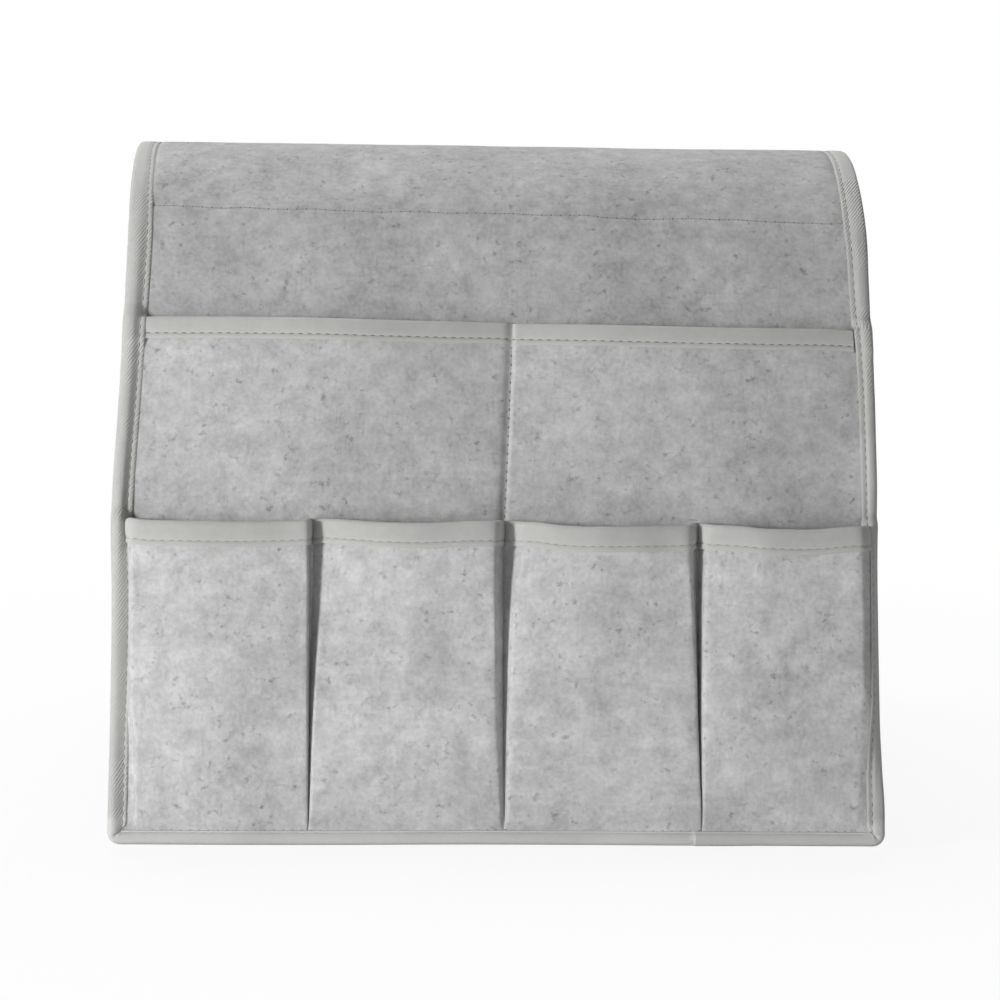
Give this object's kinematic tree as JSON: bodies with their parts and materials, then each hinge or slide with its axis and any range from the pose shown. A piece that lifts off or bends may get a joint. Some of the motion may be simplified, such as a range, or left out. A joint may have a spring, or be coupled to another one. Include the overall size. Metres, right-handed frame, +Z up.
{
  "type": "sofa armrest organizer",
  "caption": "Felt strip that hangs over a sofa armrest, with two flaps, wide upper pockets and pleated lower pockets with taped mouths on the front flap.",
  "frame": {"origin": "centre of the saddle's underside, where the lining rests on the armrest's top", "axes": "+Z up, -Y towards the pockets in front, +X to the right seen from the front, along the armrest"},
  "size_m": [0.33, 0.4031, 0.2986],
  "materials": {
    "felt": "matt pressed felt, light grey with darker fibres",
    "binding_tape": "woven twill tape, pale grey",
    "grip_lining": "thin dark anti-slip fabric with small grip dots"
  },
  "bodies": {
    "saddle": {"saddle_felt": "felt", "saddle_grip_lining": "grip_lining", "saddle_binding_left": "binding_tape", "saddle_binding_right": "binding_tape"},
    "front_flap": {"front_panel_felt": "felt", "front_edge_binding": "binding_tape", "upper_pocket_felt": "felt", "upper_pocket_tape": "binding_tape", "lower_pocket_felt": "felt", "lower_pocket_tape": "binding_tape"},
    "back_flap": {"back_panel_felt": "felt", "back_edge_binding": "binding_tape"}
  },
  "joints": [
    {"name": "front_fold", "type": "hinge", "parent": "saddle", "child": "front_flap", "pos_m": [0, -0.11294, -0.02716], "axis": [-1, 0, 0], "range_deg": [-38, 74], "stiffness_Nm_per_rad": 0.8, "springref_deg": 6.22},
    {"name": "back_fold", "type": "hinge", "parent": "saddle", "child": "back_flap", "pos_m": [0, 0.11294, -0.02716], "axis": [1, 0, 0], "range_deg": [-38, 74], "stiffness_Nm_per_rad": 0.8, "springref_deg": 2.76}
  ]
}
